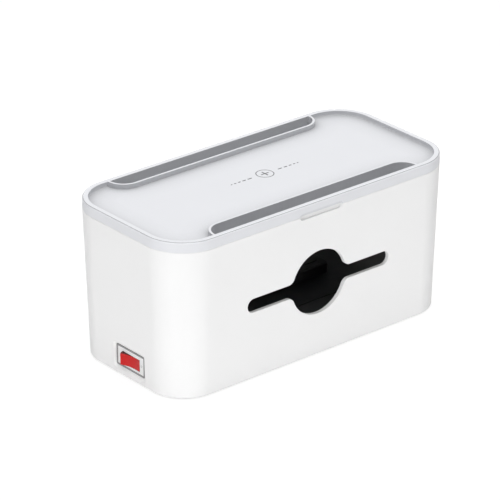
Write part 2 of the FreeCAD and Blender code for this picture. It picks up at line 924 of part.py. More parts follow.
def make_rocker():
    half = rocker_length / 2
    low = rocker_z - rocker_height / 2

    def at(u, v):
        return vec(pivot_x - u, switch_y + v, low)

    shoulder_v = math.sqrt(rocker_end_radius ** 2 - rocker_shoulder ** 2)
    keel_v = rocker_keel_half
    edges = [
        arc(at(rocker_edge_reach, half), at(rocker_edge_reach - rocker_dish, 0),
            at(rocker_edge_reach, -half)),
        arc(at(rocker_edge_reach, -half), at(0, -rocker_end_radius), at(-rocker_shoulder, -shoulder_v)),
        line(at(-rocker_shoulder, -shoulder_v), at(-rocker_keel, -keel_v)),
        line(at(-rocker_keel, -keel_v), at(-rocker_keel, keel_v)),
        line(at(-rocker_keel, keel_v), at(-rocker_shoulder, shoulder_v)),
        arc(at(-rocker_shoulder, shoulder_v), at(0, rocker_end_radius), at(rocker_edge_reach, half)),
    ]
    paddle = prism(Part.Wire(edges), vec(0, 0, rocker_height))
    reach = rocker_height / 2 + rocker_side_play + trunnion_reach
    trunnions = pillar(trunnion_radius, pivot_x, switch_y, rocker_z - reach, rocker_z + reach)
    rocker = paddle.fuse(trunnions).removeSplitter()
    # At rest the +Y end stands proud, which is half the swing from level
    rocker.rotate(vec(pivot_x, switch_y, rocker_z), vec(0, 0, 1), rocker_swing_deg / 2)
    return rocker


# Lid

def pocket_outline(side, line_y, radius, z):
    # A D shape: straight along the rim, with a quarter circle at each end
    centre_x = pocket_span / 2 - pocket_gap
    reach = radius * diagonal_share
    outer_y = side * line_y
    inner_y = side * (line_y - radius)
    bend_y = side * (line_y - reach)
    edges = [
        line(vec(-centre_x - radius, outer_y, z), vec(centre_x + radius, outer_y, z)),
        arc(vec(centre_x + radius, outer_y, z), vec(centre_x + reach, bend_y, z), vec(centre_x, inner_y, z)),
        line(vec(centre_x, inner_y, z), vec(-centre_x, inner_y, z)),
        arc(vec(-centre_x, inner_y, z), vec(-centre_x - reach, bend_y, z),
            vec(-centre_x - radius, outer_y, z)),
    ]
    return Part.Wire(edges)


rim_line_y = half_width - rim_width
pocket_outer_radius = pocket_gap + pocket_wall
pocket_bottom = rim_z - pocket_depth
skirt_inset = body_wall + skirt_play


def pocket_casing(side):
    bottom = pocket_bottom - pocket_floor
    casing = prism(pocket_outline(side, rim_line_y, pocket_outer_radius, bottom), vec(0, 0, rim_z - bottom))
    half_span = pocket_span / 2 - pocket_gap + pocket_outer_radius
    face_y = half_width - skirt_inset - pocket_setback
    low, high = sorted((side * rim_line_y, side * face_y))
    backing = block(-half_span, half_span, low, high, bottom, parting_z + overrun)
    return casing.fuse(backing)


def pocket_cavity(side):
    outlines = [
        pocket_outline(side, rim_line_y - pocket_outer_draft,
                       pocket_gap - pocket_outer_draft - pocket_inner_draft, pocket_bottom),
        pocket_outline(side, rim_line_y, pocket_gap, rim_z),
    ]
    cavity = Part.makeLoft(outlines, True, True)
    mouth = prism(outlines[1], vec(0, 0, overrun))
    return cavity.fuse(mouth)


def make_lid():
    band = straight_block(0, parting_z, rim_z)
    band = band.makeFillet(lid_edge_radius, edges_at_height(band, rim_z))
    band = band.makeChamfer(parting_chamfer, edges_at_height(band, parting_z))
    tray = straight_block(rim_width, tray_z, rim_z + overrun)
    tray = tray.makeFillet(tray_foot_radius, edges_at_height(tray, tray_z))
    band = band.cut(tray)
    skirt = straight_block(skirt_inset, parting_z - skirt_depth, parting_z + overrun)
    skirt = skirt.makeChamfer(skirt_lead_chamfer, edges_at_height(skirt, parting_z - skirt_depth))
    hollow = straight_block(skirt_inset + skirt_wall, parting_z - skirt_depth - overrun, tray_underside)
    lid = band.fuse(skirt).cut(hollow)
    lid = lid.fuse([pocket_casing(-1), pocket_casing(1)])
    boss_bottom = tray_underside - cover_height + cover_wall
    bosses = [pillar(cover_boss_radius, x, y, boss_bottom, tray_underside + lid_skin / 2)
              for x, y in cover_screw_places()]
    lid = lid.fuse(bosses)
    cutters = [pocket_cavity(-1), pocket_cavity(1)] + groove_cutters()
    for x, y in cover_screw_places():
        cutters.append(pillar(screw_radius + screw_play, x, y, boss_bottom - overrun, tray_underside))
    return lid.cut(cutters).removeSplitter()


# Wireless charger under the tray

cover_bottom = tray_underside - cover_height
cover_inside = cover_bottom + cover_wall
charger_board_z = cover_inside + charger_board_lift
charger_board_right = cover_length / 2 - charger_board_edge
charger_port_z = charger_board_z + charger_board_thickness


def charger_post_places():
    low_x = charger_board_right - charger_board_length + charger_post_inset
    high_x = charger_board_right - charger_post_inset
    y = charger_board_width / 2 - charger_post_inset
    return [(low_x, y), (low_x, -y), (high_x, y), (high_x, -y)]


def charger_port_block(play, x_low, x_high):
    half = charger_port_length / 2 + play
    return block(x_low, x_high, -half, half,
                 charger_port_z - play, charger_port_z + charger_port_height + play)


def make_charger_cover():
    cover = rounded_block(cover_length / 2, cover_width / 2, cover_radius, cover_bottom, tray_underside)
    cover = cover.makeFillet(cover_edge_radius, edges_at_height(cover, cover_bottom))
    hollow = rounded_block(cover_length / 2 - cover_wall, cover_width / 2 - cover_wall,
                           cover_radius - cover_wall, cover_inside, tray_underside + overrun)
    cover = cover.cut(hollow)
    seat_top = tray_underside - coil_thickness - ferrite_thickness
    seat = pillar(ferrite_seat_radius, 0, 0, cover_inside - cover_wall / 2, seat_top)
    seat = seat.cut(pillar(ferrite_seat_radius - ferrite_seat_wall, 0, 0, cover_inside, seat_top + overrun))
    posts = [pillar(charger_post_radius, x, y, cover_inside - cover_wall / 2, charger_board_z)
             for x, y in charger_post_places()]
    cover = cover.fuse([seat] + posts)
    half = cover_length / 2
    cutters = [charger_port_block(charger_port_play, half - cover_wall - overrun, half + overrun)]
    for x, y in cover_screw_places():
        cutters.append(pillar(screw_radius + screw_hole_play, x, y,
                              cover_bottom - overrun, cover_inside + overrun))
    return cover.cut(cutters).removeSplitter()


def make_charging_coil():
    top = tray_underside
    coil = pillar(coil_outer_radius, 0, 0, top - coil_thickness, top)
    return coil.cut(pillar(coil_inner_radius, 0, 0, top - coil_thickness - overrun, top + overrun))


def make_ferrite_disc():
    top = tray_underside - coil_thickness
    return pillar(ferrite_radius, 0, 0, top - ferrite_thickness, top)


def make_charger_board():
    left = charger_board_right - charger_board_length
    half = charger_board_width / 2
    top = charger_board_z + charger_board_thickness
    board = block(left, charger_board_right, -half, half, charger_board_z, top)
    chips = []
    for side in (-1, 1):
        x = left + charger_board_length / 2
        y = side * charger_board_width * chip_row_share
        chips.append(block(x - chip_side / 2, x + chip_side / 2, y - chip_side / 2, y + chip_side / 2,
                           top, top + chip_height))
    return board.fuse(chips)


def make_charger_port():
    mouth_x = cover_length / 2
    shell = charger_port_block(0, mouth_x - charger_port_depth, mouth_x)
    wall = usb_shell_wall
    mouth = charger_port_block(-wall, mouth_x - charger_port_depth + usb_shell_floor, mouth_x + overrun)
    middle_z = charger_port_z + charger_port_height / 2
    half_tongue = charger_port_length * usb_c_tongue_share / 2
    tongue = block(mouth_x - charger_port_depth + usb_shell_floor / 2, mouth_x - usb_tongue_drop,
                   -half_tongue, half_tongue,
                   middle_z - usb_c_tongue_width / 2, middle_z + usb_c_tongue_width / 2)
    return shell.cut(mouth).fuse(tongue).removeSplitter()


def make_cover_screws():
    return Part.makeCompound([screw(x, y, cover_bottom, 1) for x, y in cover_screw_places()])


# Nodes

def all_nodes():
    nodes = {
        "body_shell": make_body_shell(),
        "socket_deck": make_socket_deck(),
        "deck_screws": make_deck_screws(),
        "lead_gland": make_lead_gland(),
        "live_bar": make_line_bar(1),
        "neutral_bar": make_line_bar(-1),
        "earth_bar": make_earth_bar(),
        "usb_plate": make_usb_plate(),
        "usb_board": make_usb_board(),
        "usb_transformer": make_usb_transformer(),
        "switch_bezel": make_switch_bezel(),
        "switch_plate": make_switch_plate(),
        "switch_housing": make_switch_housing(),
        "switch_terminals": make_switch_terminals(),
        "rocker": make_rocker(),
        "lid": make_lid(),
        "charger_cover": make_charger_cover(),
        "cover_screws": make_cover_screws(),
        "charging_coil": make_charging_coil(),
        "ferrite_disc": make_ferrite_disc(),
        "charger_board": make_charger_board(),
        "charger_port": make_charger_port(),
    }
    for number, x in enumerate(outlet_places(), start=1):
        nodes["outlet_" + str(number)] = make_outlet(x)
    for number, (x, y) in enumerate(foot_places(), start=1):
        nodes["foot_" + str(number)] = make_foot(x, y)
    port_names = ("usb_port_a_front", "usb_port_c", "usb_port_a_back")
    for name, (index, length, width) in zip(port_names, usb_ports()):
        slim = length < usb_a_length
        tongue_width = usb_c_tongue_width if slim else usb_a_tongue_width
        tongue_share = usb_c_tongue_share if slim else usb_a_tongue_share
        nodes[name] = make_usb_port(index, length, width, tongue_width, tongue_share)
    return nodes


os.makedirs("parts", exist_ok=True)
for name, shape in all_nodes().items():
    shape.exportStep("parts/" + name + ".step")
    print(name, len(shape.Solids), round(shape.Volume, 1), shape.isValid())
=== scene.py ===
import bpy
import bmesh
import math
from mathutils import Matrix, Vector


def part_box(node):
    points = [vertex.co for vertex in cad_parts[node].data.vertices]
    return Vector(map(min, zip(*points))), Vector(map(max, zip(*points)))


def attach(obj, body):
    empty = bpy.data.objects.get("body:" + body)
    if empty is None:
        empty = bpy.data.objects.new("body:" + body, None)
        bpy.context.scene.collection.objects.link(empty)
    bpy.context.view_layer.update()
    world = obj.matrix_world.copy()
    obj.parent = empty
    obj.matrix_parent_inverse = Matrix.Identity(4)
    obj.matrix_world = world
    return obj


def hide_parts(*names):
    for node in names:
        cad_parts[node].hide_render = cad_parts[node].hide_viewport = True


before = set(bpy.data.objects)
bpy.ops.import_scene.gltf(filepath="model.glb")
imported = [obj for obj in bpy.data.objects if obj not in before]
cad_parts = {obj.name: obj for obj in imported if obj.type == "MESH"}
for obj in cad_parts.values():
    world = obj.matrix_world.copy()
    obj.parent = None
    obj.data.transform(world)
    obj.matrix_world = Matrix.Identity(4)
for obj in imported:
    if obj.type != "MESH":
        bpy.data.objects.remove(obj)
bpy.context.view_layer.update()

# Body shell
# One tub of white ABS, moulded with leaning walls so that it pulls off its core.
# The mould has an even spark-eroded grain, and the edges of the openings are broken by a hair.

shell_white = (0.845, 0.845, 0.845)
shell_grain = 0.00035
shell_edge = 0.00035
flow_size = 0.06
rub_size = 0.011
# Tones of the painted shade in creases, by how much open sky a point sees
painted_crease_tones = ((0.5, 0.6), (0.75, 0.66), (0.88, 0.78), (0.95, 0.89))
level_share = 1.0
upright_share = 0.25
upright_rise = 0.2
level_rise = 0.8
sharp_degrees = 38
facet_join = 0.000002


def new_finish(name):
    finish = bpy.data.materials.new(name)
    finish.use_nodes = True
    tree = finish.node_tree
    return finish, tree, tree.nodes["Principled BSDF"]


def part_place(tree):
    # Metres along the part itself, so a finish stays put when its part moves
    return tree.nodes.new("ShaderNodeTexCoord").outputs["Object"]


def cloudy(tree, size, detail=2.0):
    noise = tree.nodes.new("ShaderNodeTexNoise")
    noise.inputs["Scale"].default_value = 1 / size
    noise.inputs["Detail"].default_value = detail
    tree.links.new(part_place(tree), noise.inputs["Vector"])
    return noise.outputs["Fac"]


def spread(tree, value, low, high):
    span = tree.nodes.new("ShaderNodeMapRange")
    span.inputs["From Min"].default_value = 0.3
    span.inputs["From Max"].default_value = 0.7
    span.inputs["To Min"].default_value = low
    span.inputs["To Max"].default_value = high
    tree.links.new(value, span.inputs["Value"])
    return span.outputs["Result"]


def two_tones(tree, shader, value, first, second):
    mix = tree.nodes.new("ShaderNodeMix")
    mix.data_type = "RGBA"
    mix.inputs["A"].default_value = (*first, 1)
    mix.inputs["B"].default_value = (*second, 1)
    tree.links.new(value, mix.inputs["Factor"])
    tree.links.new(mix.outputs["Result"], shader.inputs["Base Color"])


def raised(tree, shader, value, depth, strength=1.0):
    bump = tree.nodes.new("ShaderNodeBump")
    bump.inputs["Distance"].default_value = depth
    bump.inputs["Strength"].default_value = strength
    tree.links.new(value, bump.inputs["Height"])
    tree.links.new(bump.outputs["Normal"], shader.inputs["Normal"])


def paint_crease_shade(tree, shader, reach):
    # Painted shade: the colour darkens within reach of a crease, most of it on level faces and little on
    # upright ones
    crease = tree.nodes.new("ShaderNodeAmbientOcclusion")
    crease.only_local = True
    crease.samples = 16
    crease.inputs["Distance"].default_value = reach
    fall = tree.nodes.new("ShaderNodeFloatCurve")
    bend = fall.mapping.curves[0].points
    for open_sky, tone in painted_crease_tones:
        bend.new(open_sky, tone)
    fall.mapping.update()
    facing = tree.nodes.new("ShaderNodeTexCoord")
    facing_parts = tree.nodes.new("ShaderNodeSeparateXYZ")
    tree.links.new(facing.outputs["Normal"], facing_parts.inputs["Vector"])
    share = tree.nodes.new("ShaderNodeMapRange")
    share.inputs["From Min"].default_value = upright_rise
    share.inputs["From Max"].default_value = level_rise
    share.inputs["To Min"].default_value = upright_share
    share.inputs["To Max"].default_value = level_share
    tree.links.new(facing_parts.outputs["Z"], share.inputs["Value"])
    blended = tree.nodes.new("ShaderNodeMix")
    blended.inputs["A"].default_value = 1.0
    tree.links.new(share.outputs["Result"], blended.inputs["Factor"])
    tree.links.new(fall.outputs["Value"], blended.inputs["B"])
    tree.links.new(crease.outputs["AO"], fall.inputs["Value"])
    shaded = tree.nodes.new("ShaderNodeVectorMath")
    shaded.operation = "SCALE"
    tree.links.new(shader.inputs["Base Color"].links[0].from_socket, shaded.inputs[0])
    tree.links.new(blended.outputs["Result"], shaded.inputs["Scale"])
    tree.links.new(shaded.outputs["Vector"], shader.inputs["Base Color"])


def moulded_plastic(name, colour, rough, grain, depth, drift=0.97, crease=0.0, sheen=0.5):
    # rough is a low and a high roughness, grain and depth are the mould texture's size and height in metres
    # crease is the reach in metres of the painted shade in creases, and none is painted when it is 0
    finish, tree, shader = new_finish(name)
    flow = spread(tree, cloudy(tree, flow_size, 3.0), 0.0, 1.0)
    two_tones(tree, shader, flow, colour, [part * drift for part in colour])
    rubbed = spread(tree, cloudy(tree, rub_size, 4.0), *rough)
    tree.links.new(rubbed, shader.inputs["Roughness"])
    raised(tree, shader, cloudy(tree, grain, 1.0), depth)
    shader.inputs["Specular IOR Level"].default_value = sheen
    if crease:
        paint_crease_shade(tree, shader, crease)
    return finish


def dress(node, finish, edge=0.0):
    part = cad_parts[node]
    for slot in part.material_slots:
        slot.material = finish
    if edge:
        weld = part.modifiers.new("joined_facets", "WELD")
        weld.merge_threshold = facet_join
        bevel = part.modifiers.new("broken_edges", "BEVEL")
        bevel.width = edge
        bevel.segments = 2
        bevel.limit_method = "ANGLE"
        bevel.angle_limit = math.radians(sharp_degrees)
        even = part.modifiers.new("even_shading", "WEIGHTED_NORMAL")
        even.weight = 80
    return part


shell_finish = moulded_plastic("shell_finish", shell_white, (0.42, 0.5), shell_grain, 0.000008,
                               drift=0.985, sheen=0.25)
dress("body_shell", shell_finish, shell_edge)

# Feet
# Four discs of grey rubber, pressed into round seats in the underside.
# Each is moulded with two shallow rings that grip the desk.

foot_grey = (0.16, 0.165, 0.17)
foot_ring_pitch = 0.0025
foot_ring_depth = 0.0002
foot_cloud = 0.0012


def foot_rubber():
    finish, tree, shader = new_finish("foot_rubber")
    low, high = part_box("foot_1")
    centre = (low + high) / 2
    fold = tree.nodes.new("ShaderNodeVectorMath")
    fold.operation = "ABSOLUTE"
    tree.links.new(part_place(tree), fold.inputs[0])
    away = tree.nodes.new("ShaderNodeVectorMath")
    away.operation = "SUBTRACT"
    away.inputs[1].default_value = (centre.x, centre.y, 0)
    tree.links.new(fold.outputs["Vector"], away.inputs[0])
    flat = tree.nodes.new("ShaderNodeVectorMath")
    flat.operation = "MULTIPLY"
    flat.inputs[1].default_value = (1, 1, 0)
    tree.links.new(away.outputs["Vector"], flat.inputs[0])
    reach = tree.nodes.new("ShaderNodeVectorMath")
    reach.operation = "LENGTH"
    tree.links.new(flat.outputs["Vector"], reach.inputs[0])
    rings = tree.nodes.new("ShaderNodeMath")
    rings.operation = "PINGPONG"
    rings.inputs[1].default_value = foot_ring_pitch / 2
    tree.links.new(reach.outputs["Value"], rings.inputs[0])
    groove = tree.nodes.new("ShaderNodeMapRange")
    groove.inputs["From Max"].default_value = foot_ring_pitch / 4
    tree.links.new(rings.outputs["Value"], groove.inputs["Value"])
    worn = spread(tree, cloudy(tree, foot_cloud), 0, 1)
    two_tones(tree, shader, worn, foot_grey, [part * 0.8 for part in foot_grey])
    shader.inputs["Roughness"].default_value = 0.75
    raised(tree, shader, groove.outputs["Result"], foot_ring_depth)
    return finish


foot_finish = foot_rubber()
for number in range(1, 5):
    dress("foot_" + str(number), foot_finish)

# Lead gland
# A soft white rubber ring, sprung into a round hole in the right end so that the mains lead doesn't chafe.
# Its flanges lie on both faces of the wall.

gland_white = (0.62, 0.62, 0.61)
gland_finish = moulded_plastic("gland_finish", gland_white, (0.6, 0.7), 0.0006, 0.00001)
dress("lead_gland", gland_finish, 0.0001)

# Rocker switch frame, face and housing
# A grey frame lies on the recess floor round a white face plate, and a black housing snaps in behind.
# All three are hard plastic, glossier than the case.

frame_grey = (0.27, 0.27, 0.275)
face_white = (0.84, 0.84, 0.84)
housing_black = (0.018, 0.018, 0.02)
bezel_finish = moulded_plastic("bezel_finish", frame_grey, (0.24, 0.3), 0.0005, 0.000003)
plate_finish = moulded_plastic("plate_finish", face_white, (0.28, 0.34), 0.0005, 0.000003)
housing_finish = moulded_plastic("housing_finish", housing_black, (0.45, 0.55), 0.0004, 0.00001)
dress("switch_bezel", bezel_finish, 0.00025)
dress("switch_plate", plate_finish, 0.00012)
dress("switch_housing", housing_finish, 0.0002)

# Switch terminals
# Three flat brass blades, stamped with a hole and broken corners, stand out of the housing's back.
# The strip is drawn, which leaves fine lines along it.

brass = (0.62, 0.42, 0.17)
line_stretch = 0.04
line_depth = 0.000004


def drawn_metal(name, colour, rough_low, rough_high, line, along):
    finish, tree, shader = new_finish(name)
    shader.inputs["Metallic"].default_value = 1.0
    stretch = tree.nodes.new("ShaderNodeVectorMath")
    stretch.operation = "MULTIPLY"
    stretch.inputs[1].default_value = [line_stretch if axis == along else 1.0 for axis in range(3)]
    tree.links.new(part_place(tree), stretch.inputs[0])
    lines = tree.nodes.new("ShaderNodeTexNoise")
    lines.inputs["Scale"].default_value = 1 / line
    lines.inputs["Detail"].default_value = 3.0
    tree.links.new(stretch.outputs["Vector"], lines.inputs["Vector"])
    tone = spread(tree, lines.outputs["Fac"], 0, 1)
    two_tones(tree, shader, tone, colour, [part * 0.82 for part in colour])
    tree.links.new(spread(tree, lines.outputs["Fac"], rough_low, rough_high), shader.inputs["Roughness"])
    raised(tree, shader, lines.outputs["Fac"], line_depth)
    return finish


brass_finish = drawn_metal("brass_finish", brass, 0.22, 0.36, 0.0003, 0)
dress("switch_terminals", brass_finish, 0.0001)

# Rocker
# A two-way paddle of red polycarbonate, dished along its length and polished, on two pins in the housing.
# The end that stands proud shows its side, which is painted darker as shade.

rocker_red = (0.55, 0.01, 0.01)
rocker_finish = moulded_plastic("rocker_finish", rocker_red, (0.22, 0.28), 0.0006, 0.000002,
                                drift=0.93, sheen=0.3)
side_shade_tone = 0.22
face_turn = 0.45
side_turn = 0.75


def paint_side_shade(tree, shader):
    # Painted shade: the paddle's narrow upper and lower sides are coloured darker than its face
    facing = tree.nodes.new("ShaderNodeTexCoord")
    parts = tree.nodes.new("ShaderNodeSeparateXYZ")
    tree.links.new(facing.outputs["Normal"], parts.inputs["Vector"])
    across = tree.nodes.new("ShaderNodeMath")
    across.operation = "ABSOLUTE"
    tree.links.new(parts.outputs["Z"], across.inputs[0])
    tone = tree.nodes.new("ShaderNodeMapRange")
    tone.inputs["From Min"].default_value = face_turn
    tone.inputs["From Max"].default_value = side_turn
    tone.inputs["To Min"].default_value = 1.0
    tone.inputs["To Max"].default_value = side_shade_tone
    tree.links.new(across.outputs["Value"], tone.inputs["Value"])
    toned = tree.nodes.new("ShaderNodeVectorMath")
    toned.operation = "SCALE"
    tree.links.new(shader.inputs["Base Color"].links[0].from_socket, toned.inputs[0])
    tree.links.new(tone.outputs["Result"], toned.inputs["Scale"])
    tree.links.new(toned.outputs["Vector"], shader.inputs["Base Color"])


rocker_tree = rocker_finish.node_tree
paint_side_shade(rocker_tree, rocker_tree.nodes["Principled BSDF"])
dress("rocker", rocker_finish, 0.0003)

# Switch marks
# The usual bar and ring for on and off, pad-printed in grey on the face plate beside the rocker's ends.
# The ink is thinner than a hair and stands just proud of the plate.

mark_grey = (0.36, 0.37, 0.38)
mark_height = 0.0018
mark_stroke = 0.00035
print_height = 0.00004
mark_inset = 0.0026
ring_steps = 28
ink_speckle = 0.0002
ink_tooth = 0.00015
ink_depth = 0.000004


def ink(name, colour):
    finish, tree, shader = new_finish(name)
    dots = spread(tree, cloudy(tree, ink_speckle, 2.0), 0, 1)
    two_tones(tree, shader, dots, colour, [part * 1.12 for part in colour])
    shader.inputs["Roughness"].default_value = 0.55
    raised(tree, shader, cloudy(tree, ink_tooth), ink_depth)
    return finish


def new_piece(name, mesh, finish, body):
    piece = bpy.data.objects.new(name, mesh)
    bpy.context.scene.collection.objects.link(piece)
    mesh.materials.append(finish)
    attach(piece, body)
    return piece


def raise_outline(form, outer, inner, lift):
    # A flat print with an even thickness: outer and inner are lists of corners, lift is the way it rises
    base_outer = [form.verts.new(point) for point in outer]
    top_outer = [form.verts.new(Vector(point) + lift) for point in outer]
    count = len(outer)
    if inner is None:
        form.faces.new(top_outer)
        form.faces.new(base_outer[::-1])
    else:
        base_inner = [form.verts.new(point) for point in inner]
        top_inner = [form.verts.new(Vector(point) + lift) for point in inner]
    for at in range(count):
        after = (at + 1) % count
        form.faces.new((base_outer[at], base_outer[after], top_outer[after], top_outer[at]))
        if inner is not None:
            form.faces.new((base_inner[after], base_inner[at], top_inner[at], top_inner[after]))
            form.faces.new((top_outer[at], top_outer[after], top_inner[after], top_inner[at]))
            form.faces.new((base_outer[after], base_outer[at], base_inner[at], base_inner[after]))


def finished_mesh(name, form, smooth=False):
    bmesh.ops.recalc_face_normals(form, faces=form.faces)
    mesh = bpy.data.meshes.new(name)
    form.to_mesh(mesh)
    form.free()
    if smooth:
        mesh.shade_smooth()
    return mesh


plate_low, plate_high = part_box("switch_plate")
plate_face = plate_low.x
switch_middle = (plate_low + plate_high) / 2
mark_reach = (plate_high.y - plate_low.y) / 2 - mark_inset
marks = bmesh.new()


def on_plate(along, up):
    return Vector((plate_face + print_height / 4, switch_middle.y + along, switch_middle.z + up))


outward = Vector((-print_height, 0, 0))
ring_turns = [math.tau * step / ring_steps for step in range(ring_steps)]


def ring_on_plate(radius):
    return [on_plate(-mark_reach + radius * math.sin(turn), radius * math.cos(turn)) for turn in ring_turns]


raise_outline(marks, ring_on_plate(mark_height / 2), ring_on_plate(mark_height / 2 - mark_stroke), outward)
bar = [on_plate(mark_reach + side * mark_stroke / 2, up * mark_height / 2)
       for side, up in ((-1, -1), (-1, 1), (1, 1), (1, -1))]
raise_outline(marks, bar, None, outward)
mark_finish = ink("mark_finish", mark_grey)
new_piece("switch_marks", finished_mesh("switch_marks", marks), mark_finish, "base")

# Switch surround
# The shell's recess eases down to the switch frame in a soft slope all round, in the shell's own plastic.
# The slope starts just under the end wall, which leans out towards the top, and ends against the frame.

surround_length = 0.0384
surround_height = 0.0232
surround_radius = 0.0024
frame_radius = 0.0008
recess_depth = 0.002
wall_lean = 0.0314
surround_gap = 0.00004
slope_steps = 10
corner_steps = 6
bezel_low, bezel_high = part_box("switch_bezel")
recess_floor = bezel_high.x
surround_middle = (bezel_low + bezel_high) / 2
frame_half_length = (bezel_high.y - bezel_low.y) / 2
frame_half_height = (bezel_high.z - bezel_low.z) / 2
slope = bmesh.new()
rings = []
for step in range(slope_steps + 1):
    inward = step / slope_steps
    sunk = inward * inward * (3 - 2 * inward)
    half_length = surround_length / 2 - surround_gap + (frame_half_length - surround_length / 2) * inward
    half_height = surround_height / 2 - surround_gap + (frame_half_height - surround_height / 2) * inward
    radius = surround_radius + (frame_radius - surround_radius) * inward
    ring = []
    for quarter in range(4):
        side = 1 if quarter in (0, 3) else -1
        rise = 1 if quarter < 2 else -1
        for part in range(corner_steps + 1):
            angle = (quarter + part / corner_steps) * math.pi / 2
            along = side * (half_length - radius) + radius * math.cos(angle)
            above = rise * (half_height - radius) + radius * math.sin(angle)
            skin = recess_floor - recess_depth - above * wall_lean + surround_gap
            ring.append(slope.verts.new((skin + (recess_floor - skin) * sunk, surround_middle.y + along,
                                         surround_middle.z + above)))
    rings.append(ring)
for outer, inner in zip(rings, rings[1:]):
    for at in range(len(outer)):
        after = (at + 1) % len(outer)
        slope.faces.new((outer[at], outer[after], inner[after], inner[at])).smooth = True
heel = [slope.verts.new((recess_floor, corner.co.y, corner.co.z)) for corner in rings[0]]
for at in range(len(heel)):
    after = (at + 1) % len(heel)
    slope.faces.new((rings[0][after], rings[0][at], heel[at], heel[after]))
    slope.faces.new((rings[-1][at], rings[-1][after], heel[after], heel[at]))
new_piece("switch_surround", finished_mesh("switch_surround", slope), shell_finish, "base")

# Busbars
# Three brass strips run under the outlets, with a sprung pair of leaves for each blade or earth pin.
# They lie on moulded rests in the floor.

for node in ("live_bar", "neutral_bar", "earth_bar"):
    dress(node, brass_finish, 0.0001)

# USB outlet
# A black face plate over a green board, with two wide ports and a small one between them.
# The ports are folded from bright steel, and a wound transformer stands on the board.

board_green = (0.012, 0.115, 0.045)
steel = (0.56, 0.57, 0.59)
tape_yellow = (0.62, 0.38, 0.03)
deck_black = (0.012, 0.012, 0.013)
track_green = (0.03, 0.19, 0.08)
tracks_per_metre = 420
track_width = 0.035
track_depth = 0.00003


def circuit_board():
    finish, tree, shader = new_finish("board_finish")
    tracks = tree.nodes.new("ShaderNodeTexBrick")
    tracks.inputs["Scale"].default_value = tracks_per_metre
    tracks.inputs["Mortar Size"].default_value = track_width
    tracks.inputs["Color1"].default_value = (*board_green, 1)
    tracks.inputs["Color2"].default_value = (*[part * 0.85 for part in board_green], 1)
    tracks.inputs["Mortar"].default_value = (*track_green, 1)
    tree.links.new(part_place(tree), tracks.inputs["Vector"])
    tree.links.new(tracks.outputs["Color"], shader.inputs["Base Color"])
    shader.inputs["Roughness"].default_value = 0.32
    raised(tree, shader, tracks.outputs["Fac"], track_depth)
    return finish


board_finish = circuit_board()
port_finish = drawn_metal("port_finish", steel, 0.2, 0.32, 0.00025, 2)
tape_finish = moulded_plastic("tape_finish", tape_yellow, (0.3, 0.4), 0.0008, 0.00002)
outlet_finish = moulded_plastic("outlet_finish", deck_black, (0.4, 0.48), 0.0004, 0.000008)
dress("usb_board", board_finish, 0.0001)
dress("usb_transformer", tape_finish, 0.0002)
dress("usb_plate", outlet_finish, 0.0002)
for node in ("usb_port_a_front", "usb_port_c", "usb_port_a_back"):
    dress(node, port_finish, 0.0001)

# Socket deck
# A black false floor with a raised bank for the outlets, moulded in flame-retardant plastic.
# It rests on ribs and bosses, and eight screws hold it down.

screw_steel = (0.42, 0.42, 0.44)
deck_finish = moulded_plastic("deck_finish", deck_black, (0.34, 0.42), 0.0005, 0.00001)
screw_finish = drawn_metal("screw_finish", screw_steel, 0.28, 0.4, 0.0004, 2)
dress("socket_deck", deck_finish, 0.0003)
dress("deck_screws", screw_finish, 0.00012)

# Outlets
# Flush black inserts, each with two flat slots and a round earth hole, clipped into the bank.
# Grey shutters close the slots from inside until a plug pushes them apart.

shutter_grey = (0.11, 0.11, 0.115)
shutter_depth = 0.0028
shutter_fall = 0.0009
shutter_thickness = 0.0008
slot_offset = 0.004
slot_half_length = 0.004
slot_half_width = 0.0011
slot_half_spacing = 0.00635
shutter_finish = moulded_plastic("shutter_finish", shutter_grey, (0.4, 0.5), 0.0004, 0.000005)
for number in range(1, 6):
    outlet = "outlet_" + str(number)
    dress(outlet, outlet_finish, 0.00025)
    low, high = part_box(outlet)
    middle = (low + high) / 2
    shutters = bmesh.new()
    for side in (-1, 1):
        x, y, z = middle.x - slot_offset, middle.y + side * slot_half_spacing, high.z - shutter_depth
        slope = [
            Vector((x - slot_half_length, y - slot_half_width, z)),
            Vector((x + slot_half_length, y - slot_half_width, z)),
            Vector((x + slot_half_length, y + slot_half_width, z - shutter_fall)),
            Vector((x - slot_half_length, y + slot_half_width, z - shutter_fall)),
        ]
        raise_outline(shutters, slope, None, Vector((0, 0, -shutter_thickness)))
    name = outlet + "_shutters"
    new_piece(name, finished_mesh(name, shutters), shutter_finish, "base")

# Lid
# One moulding in a cooler white than the body, with a raised rim round a shallow tray.
# Two D-shaped pockets along the long sides hold phones or tablets on edge.

lid_white = (0.715, 0.723, 0.75)
# Its finish holds painted shade in the tray's creases, painted light on the rim's top and a painted shadow
# line round the rim
lid_finish = moulded_plastic("lid_finish", lid_white, (0.4, 0.48), 0.0003, 0.000007,
                             drift=0.988, crease=0.022, sheen=0.25)
rim_width = 0.0045
rim_corner = 0.034
shadow_line_inset = 0.00062
shadow_line_half_width = 0.0003
shadow_line_tone = 0.5
rim_light_tone = 1.03
rim_skin = 0.0009


def number_node(tree, action, first, second, third=None):
    step = tree.nodes.new("ShaderNodeMath")
    step.operation = action
    for socket, value in zip(step.inputs, (first, second, third)):
        if isinstance(value, bpy.types.NodeSocket):
            tree.links.new(value, socket)
        elif value is not None:
            socket.default_value = value
    return step.outputs["Value"]


def vector_node(tree, action, first, second=None):
    step = tree.nodes.new("ShaderNodeVectorMath")
    step.operation = action
    for socket, value in zip(step.inputs, (first, second)):
        if isinstance(value, bpy.types.NodeSocket):
            tree.links.new(value, socket)
        elif value is not None:
            socket.default_value = value
    return step


